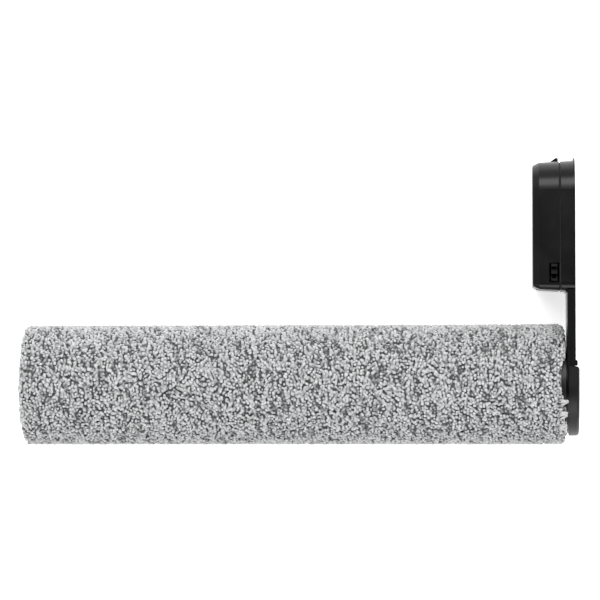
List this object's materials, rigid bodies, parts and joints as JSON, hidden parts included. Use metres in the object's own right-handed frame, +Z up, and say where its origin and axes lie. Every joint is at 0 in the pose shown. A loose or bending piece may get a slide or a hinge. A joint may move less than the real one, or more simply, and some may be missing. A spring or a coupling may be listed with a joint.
{
  "type": "floor washer roller brush",
  "caption": "Soft-pile roller brush of a wet and dry floor washer, spinning on a side bracket whose plug-in box has a press-to-release latch.",
  "frame": {"origin": "on the roller's axis, at the mouth of the drive bore in the roller's free end", "axes": "+X along the roller towards the bracket, +Y from the axis towards the bracket's plug, +Z up; the part lies on the roller and on the plug's lower rear corner"},
  "size_m": [0.2639, 0.1356, 0.057],
  "materials": {
    "pile": "dense looped microfibre nap",
    "backing": "woven backing",
    "tube": "extruded",
    "end_plug": "satin moulded",
    "drive_insert": "smooth moulded",
    "end_ring": "smooth moulded",
    "bearing_steel": "ground",
    "spring_steel": "bright",
    "seal_rubber": "matt",
    "cage": "smooth moulded",
    "housing": "fine satin grain",
    "side_cover": "fine satin grain",
    "hub_cap": "matt grain",
    "axle_steel": "turned",
    "screw_steel": "zinc plated",
    "washer_plastic": "smooth",
    "latch": "smooth",
    "button": "satin"
  },
  "bodies": {
    "bracket": {"outer_housing": "housing", "inner_housing": "housing", "housing_gasket": "seal_rubber", "side_cover": "side_cover", "hub_cap": "hub_cap", "axle": "axle_steel", "axle_circlip": "spring_steel", "axle_washer": "spring_steel", "axle_screw": "screw_steel", "inner_race": "bearing_steel", "thrust_washer": "washer_plastic", "guide_strap_1": "spring_steel", "guide_strap_2": "spring_steel", "latch_spring": "spring_steel", "button_spring": "spring_steel", "housing_screw_1": "screw_steel", "housing_screw_2": "screw_steel", "housing_screw_3": "screw_steel", "housing_screw_4": "screw_steel", "strap_screw_1": "screw_steel", "strap_screw_2": "screw_steel", "strap_screw_3": "screw_steel", "strap_screw_4": "screw_steel"},
    "roller": {"pile_sleeve": "pile", "backing_cloth": "backing", "core_tube": "tube", "drive_end_cap": "end_plug", "drive_insert": "drive_insert", "bearing_carrier": "end_plug", "end_ring": "end_ring", "outer_race": "bearing_steel", "shield_left": "bearing_steel", "shield_right": "bearing_steel", "retaining_ring": "spring_steel", "lip_seal": "seal_rubber"},
    "ball_cage": {"bearing_cage": "cage", "ball_1": "bearing_steel", "ball_2": "bearing_steel", "ball_3": "bearing_steel", "ball_4": "bearing_steel", "ball_5": "bearing_steel", "ball_6": "bearing_steel", "ball_7": "bearing_steel"},
    "latch": {"latch_bar": "latch"},
    "button": {"release_button": "button"}
  },
  "joints": [
    {"name": "roller_spin", "type": "hinge", "parent": "bracket", "child": "roller", "pos_m": [0, 0, 0], "axis": [1, 0, 0], "continuous": true},
    {"name": "cage_spin", "type": "hinge", "parent": "bracket", "child": "ball_cage", "pos_m": [0, 0, 0], "axis": [1, 0, 0], "continuous": true},
    {"name": "release_press", "type": "slide", "parent": "bracket", "child": "button", "axis": [0, -0.0493, -0.9988], "range_m": [0, 0.0025], "stiffness_N_per_m": 250, "springref_m": -0.004, "deforming": ["button_spring"]},
    {"name": "latch_slide", "type": "slide", "parent": "bracket", "child": "latch", "axis": [0, -0.9988, 0.0493], "range_m": [0, 0.0025], "stiffness_N_per_m": 300, "springref_m": -0.004, "deforming": ["latch_spring"]}
  ],
  "couplings": [
    {"joint": "cage_spin", "follows": "roller_spin", "ratio": 0.6323},
    {"joint": "latch_slide", "follows": "release_press", "ratio": 1}
  ]
}
